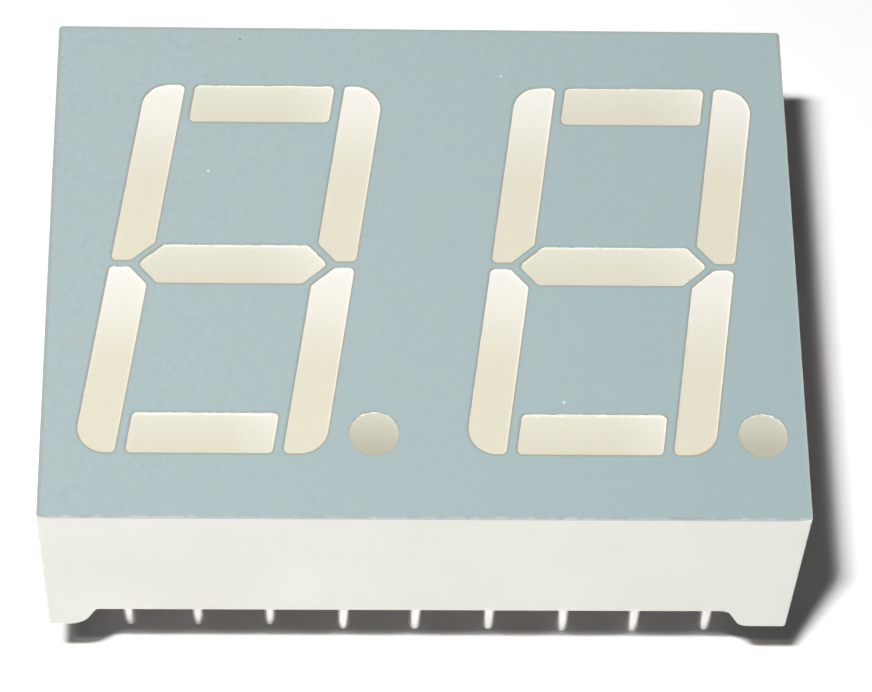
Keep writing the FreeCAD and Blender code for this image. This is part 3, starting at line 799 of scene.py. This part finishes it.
def makeFloor():
    sheet = {"size": 1.2, "bounce": "#b9b8b6", "worn": "#b4b3b1", "grainPerMm": 3.0,
             "lit": (1.18, 1.18, 1.18, 1.0), "shaded": (0.56, 0.545, 0.58, 1.0),
             # the shaded place: a rectangle with soft edges, its front right corner cut off and its
             # front and back edges further out where the feet stand
             "shadeMiddle": (1.62, 3.40, 0.0), "shadeReach": (13.93, 11.28), "shadeSoft": (0.6, 0.25),
             "shadeCorner": (0.799, -0.601, 0.0), "cornerReach": 15.81, "cornerSoft": 0.5,
             "feetMiddle": (0.35, 0.0, 0.0), "feetFrom": 10.5, "feetTo": 11.4, "feetReach": 0.27,
             "farWhite": 0.985, "farFrom": 24.0, "farTo": 60.0}
    half = sheet["size"] / 2
    mesh = bpy.data.meshes.new("floorSheet")
    z = cadBox[0][2]
    corners = [(-half, -half, z), (half, -half, z), (half, half, z), (-half, half, z)]
    mesh.from_pydata(corners, [], [(0, 1, 2, 3)])
    floor = bpy.data.objects.new("floorSheet", mesh)
    bpy.context.scene.collection.objects.link(floor)
    material = newMaterial("paleCardPressed")
    place = placeInMillimetres(material)
    grain = addNode(material, "ShaderNodeTexNoise", {},
                    {"Vector": place, "Scale": sheet["grainPerMm"], "Detail": 3.0})
    tone = mixColour(material, grain.outputs[0], hexColour(sheet["bounce"]), hexColour(sheet["worn"]))
    bounce = addNode(material, "ShaderNodeBsdfDiffuse", {}, {"Color": tone})

    def awayFrom(middle):
        # how far to either side of a middle, along x, y and z
        moved = addNode(material, "ShaderNodeVectorMath", {"operation": "SUBTRACT"}, {0: place, 1: middle})
        across = addNode(material, "ShaderNodeVectorMath", {"operation": "ABSOLUTE"}, {0: moved.outputs[0]})
        return addNode(material, "ShaderNodeSeparateXYZ", {}, {0: across.outputs[0]})

    # the card is darker where the part keeps the flash off it, so that the shadow stays deep
    # although the part's other sides are lit
    fromShade = awayFrom(sheet["shadeMiddle"])
    fromFeet = awayFrom(sheet["feetMiddle"])
    foot = addNode(material, "ShaderNodeMapRange", {"interpolation_type": "SMOOTHSTEP"},
                   {"Value": fromFeet.outputs["X"], 1: sheet["feetFrom"], 2: sheet["feetTo"],
                    4: sheet["feetReach"]})
    deep = addNode(material, "ShaderNodeMath", {"operation": "SUBTRACT"},
                   {0: fromShade.outputs["Y"], 1: foot.outputs[0]})
    corner = addNode(material, "ShaderNodeVectorMath", {"operation": "DOT_PRODUCT"},
                     {0: place, 1: sheet["shadeCorner"]})
    shade = None
    for value, reach, soft in ((fromShade.outputs["X"], sheet["shadeReach"][0], sheet["shadeSoft"][0]),
                               (deep.outputs[0], sheet["shadeReach"][1], sheet["shadeSoft"][1]),
                               (corner.outputs["Value"], sheet["cornerReach"], sheet["cornerSoft"])):
        inside = addNode(material, "ShaderNodeMapRange", {"interpolation_type": "SMOOTHSTEP"},
                         {"Value": value, 1: reach, 2: reach - soft}).outputs[0]
        shade = inside if shade is None else addNode(material, "ShaderNodeMath", {"operation": "MULTIPLY"},
                                                     {0: shade, 1: inside}).outputs[0]
    seen = addNode(material, "ShaderNodeBsdfDiffuse", {},
                   {"Color": mixColour(material, shade, sheet["lit"], sheet["shaded"])})
    # away from the part the card ends in plain white
    away = addNode(material, "ShaderNodeVectorMath", {"operation": "LENGTH"}, {0: place})
    faded = addNode(material, "ShaderNodeMapRange", {"interpolation_type": "SMOOTHSTEP"},
                    {"Value": away.outputs["Value"], 1: sheet["farFrom"], 2: sheet["farTo"]})
    white = addNode(material, "ShaderNodeEmission", {}, {"Strength": sheet["farWhite"]})
    shown = addNode(material, "ShaderNodeMixShader", {},
                    {0: faded.outputs[0], 1: seen.outputs[0], 2: white.outputs[0]})
    mixed = addNode(material, "ShaderNodeMixShader", {},
                    {0: seenDirectly(material), 1: bounce.outputs[0], 2: shown.outputs[0]})
    mesh.materials.append(finish(material, mixed))


makeFloor()
print("floor laid")


# light: one small flash near the camera's left, and broad weak lamps low down round the part,
# which light its walls and hardly reach the floor

def makeLights():
    # place, aim, width and height in millimetres, power in watts; the room's own light is weak
    centre = (0.0, 0.0, 0.0)
    lamps = {"flash": ((-20.5, -50.5, 145.0), (0.0, 140.0, 0.0), 15.2, 5.5, 0.266),
             "front": ((-130.0, -300.0, 7.0), centre, 150.0, 14.0, 0.455),
             "left": ((-520.0, 300.0, 5.0), centre, 300.0, 16.0, 1.6),
             "back": ((60.0, 600.0, 5.0), centre, 300.0, 16.0, 1.3),
             "right": ((600.0, 20.0, 5.0), centre, 300.0, 16.0, 1.35)}
    room = 0.02
    for name, (place, aim, width, height, power) in lamps.items():
        data = bpy.data.lights.new(name, "AREA")
        data.shape = "ELLIPSE"
        data.size = width * mm
        data.size_y = height * mm
        data.energy = power
        item = bpy.data.objects.new(name, data)
        item.location = Vector(place) * mm
        item.rotation_euler = (Vector(aim) * mm - item.location).to_track_quat("-Z", "Y").to_euler()
        bpy.context.scene.collection.objects.link(item)
    world = bpy.data.worlds.new("room")
    bpy.context.scene.world = world
    world.use_nodes = True
    world.node_tree.nodes.clear()
    strength = addNode(world, "ShaderNodeMapRange", {}, {"Value": seenDirectly(world), 3: room, 4: 1.0})
    back = addNode(world, "ShaderNodeBackground", {},
                   {"Color": (1, 1, 1, 1), "Strength": strength.outputs[0]})
    addNode(world, "ShaderNodeOutputWorld", {}, {"Surface": back.outputs[0]})


makeLights()


def makeCamera():
    # solved from the face's corners and the pins' tips in the photograph
    shot = {"place": (-3.81, -60.11, 111.07), "right": (0.9993436, -0.0117567, 0.0342658),
            "up": (-0.0062968, 0.8751048, 0.4838924), "back": (-0.0356752, -0.4837906, 0.8744564),
            "lens": 147.55, "sensor": 36.0, "clipStart": 0.005, "clipEnd": 10.0}
    data = bpy.data.cameras.new("camera")
    data.lens = shot["lens"]
    data.sensor_width = shot["sensor"]
    data.clip_start = shot["clipStart"]
    data.clip_end = shot["clipEnd"]
    camera = bpy.data.objects.new("camera", data)
    bpy.context.scene.collection.objects.link(camera)
    turn = Matrix((shot["right"], shot["up"], shot["back"])).transposed().to_4x4()
    camera.matrix_world = Matrix.Translation(Vector(shot["place"]) * mm) @ turn
    bpy.context.scene.camera = camera


makeCamera()
bpy.context.scene.view_settings.view_transform = "Standard"
print("lights and camera set")
